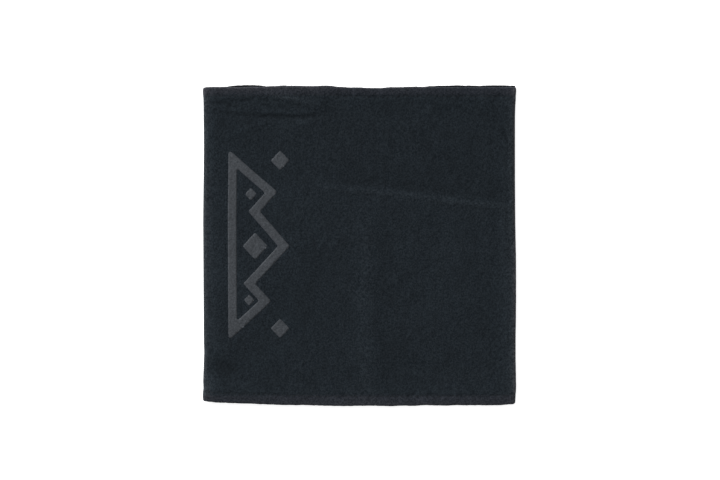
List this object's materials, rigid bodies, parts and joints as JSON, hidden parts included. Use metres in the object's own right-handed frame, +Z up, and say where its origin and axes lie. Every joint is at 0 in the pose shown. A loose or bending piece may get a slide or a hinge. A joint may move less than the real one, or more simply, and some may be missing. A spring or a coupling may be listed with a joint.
{
  "type": "neck gaiter",
  "caption": "Fleece neck gaiter lying flat: a soft tube with a folded left edge, a sewn right side seam, stitched hems at mouth and foot, and a tonal emblem on the front.",
  "frame": {"origin": "centre of the flat tube's footprint, on the plane that the back wall rests on", "axes": "+X across the flat width from the folded edge to the side seam, +Y towards the mouth (the upper hem), +Z up out of the front wall"},
  "size_m": [0.26, 0.265, 0.0075],
  "materials": {
    "fleece": "matte brushed fleece, near black with a blue-grey cast",
    "thread": "black polyester sewing thread, faint sheen",
    "print": "tonal dark grey soft print, matte",
    "label": "satin ribbon, blank"
  },
  "bodies": {
    "back_outer_left_panel": {"back_outer_left": "fleece", "hem_stitches_back_outer_left": "thread", "left_fold": "fleece"},
    "back_inner_left_panel": {"back_inner_left": "fleece", "hem_stitches_back_inner_left": "thread"},
    "back_centre_panel": {"back_centre": "fleece", "hem_stitches_back_centre": "thread"},
    "back_inner_right_panel": {"back_inner_right": "fleece", "hem_stitches_back_inner_right": "thread"},
    "back_outer_right_panel": {"back_outer_right": "fleece", "hem_stitches_back_outer_right": "thread", "seam_allowance": "fleece", "seam_overlock": "thread"},
    "front_outer_left_panel": {"front_outer_left": "fleece", "hem_stitches_front_outer_left": "thread", "emblem_outer": "print"},
    "front_inner_left_panel": {"front_inner_left": "fleece", "hem_stitches_front_inner_left": "thread", "emblem_inner": "print"},
    "front_centre_panel": {"front_centre": "fleece", "hem_stitches_front_centre": "thread"},
    "front_inner_right_panel": {"front_inner_right": "fleece", "hem_stitches_front_inner_right": "thread"},
    "front_outer_right_panel": {"front_outer_right": "fleece", "hem_stitches_front_outer_right": "thread"},
    "label_tab": {"care_label": "label"}
  },
  "joints": [
    {"name": "mouth_opening", "type": "hinge", "parent": "back_centre_panel", "child": "back_inner_left_panel", "pos_m": [-0.03015, 0, 0.0036], "axis": [0, 1, 0], "range_deg": [0, 40]},
    {"name": "back_bend_outer_left", "type": "hinge", "parent": "back_inner_left_panel", "child": "back_outer_left_panel", "pos_m": [-0.08215, 0, 0.0036], "axis": [0, 1, 0], "range_deg": [0, 34]},
    {"name": "left_fold_opening", "type": "hinge", "parent": "back_outer_left_panel", "child": "front_outer_left_panel", "pos_m": [-0.1263, 0, 0.0037], "axis": [0, -1, 0], "range_deg": [0, 148], "deforming": ["left_fold"]},
    {"name": "front_bend_outer_left", "type": "hinge", "parent": "front_outer_left_panel", "child": "front_inner_left_panel", "pos_m": [-0.08215, 0, 0.0038], "axis": [0, 1, 0], "range_deg": [0, 34]},
    {"name": "front_bend_inner_left", "type": "hinge", "parent": "front_inner_left_panel", "child": "front_centre_panel", "pos_m": [-0.03015, 0, 0.0038], "axis": [0, 1, 0], "range_deg": [0, 40]},
    {"name": "front_bend_inner_right", "type": "hinge", "parent": "front_centre_panel", "child": "front_inner_right_panel", "pos_m": [0.03385, 0, 0.0038], "axis": [0, 1, 0], "range_deg": [0, 40]},
    {"name": "front_bend_outer_right", "type": "hinge", "parent": "front_inner_right_panel", "child": "front_outer_right_panel", "pos_m": [0.08585, 0, 0.0038], "axis": [0, 1, 0], "range_deg": [0, 34]},
    {"name": "back_bend_inner_right", "type": "hinge", "parent": "back_centre_panel", "child": "back_inner_right_panel", "pos_m": [0.03385, 0, 0.0036], "axis": [0, -1, 0], "range_deg": [0, 40]},
    {"name": "back_bend_outer_right", "type": "hinge", "parent": "back_inner_right_panel", "child": "back_outer_right_panel", "pos_m": [0.08585, 0, 0.0036], "axis": [0, -1, 0], "range_deg": [0, 34]},
    {"name": "care_label_lift", "type": "hinge", "parent": "back_outer_right_panel", "child": "label_tab", "pos_m": [0.1261, 0, 0.00507], "axis": [0, 1, 0], "range_deg": [0, 50]}
  ],
  "couplings": [
    {"joint": "back_bend_outer_left", "follows": "mouth_opening", "ratio": 0.85},
    {"joint": "left_fold_opening", "follows": "mouth_opening", "ratio": 3.7},
    {"joint": "front_bend_outer_left", "follows": "mouth_opening", "ratio": 0.85},
    {"joint": "front_bend_inner_left", "follows": "mouth_opening", "ratio": 1},
    {"joint": "front_bend_inner_right", "follows": "mouth_opening", "ratio": 1},
    {"joint": "front_bend_outer_right", "follows": "mouth_opening", "ratio": 0.85},
    {"joint": "back_bend_inner_right", "follows": "mouth_opening", "ratio": 1},
    {"joint": "back_bend_outer_right", "follows": "mouth_opening", "ratio": 0.85},
    {"joint": "care_label_lift", "follows": "mouth_opening", "ratio": 1.25}
  ]
}
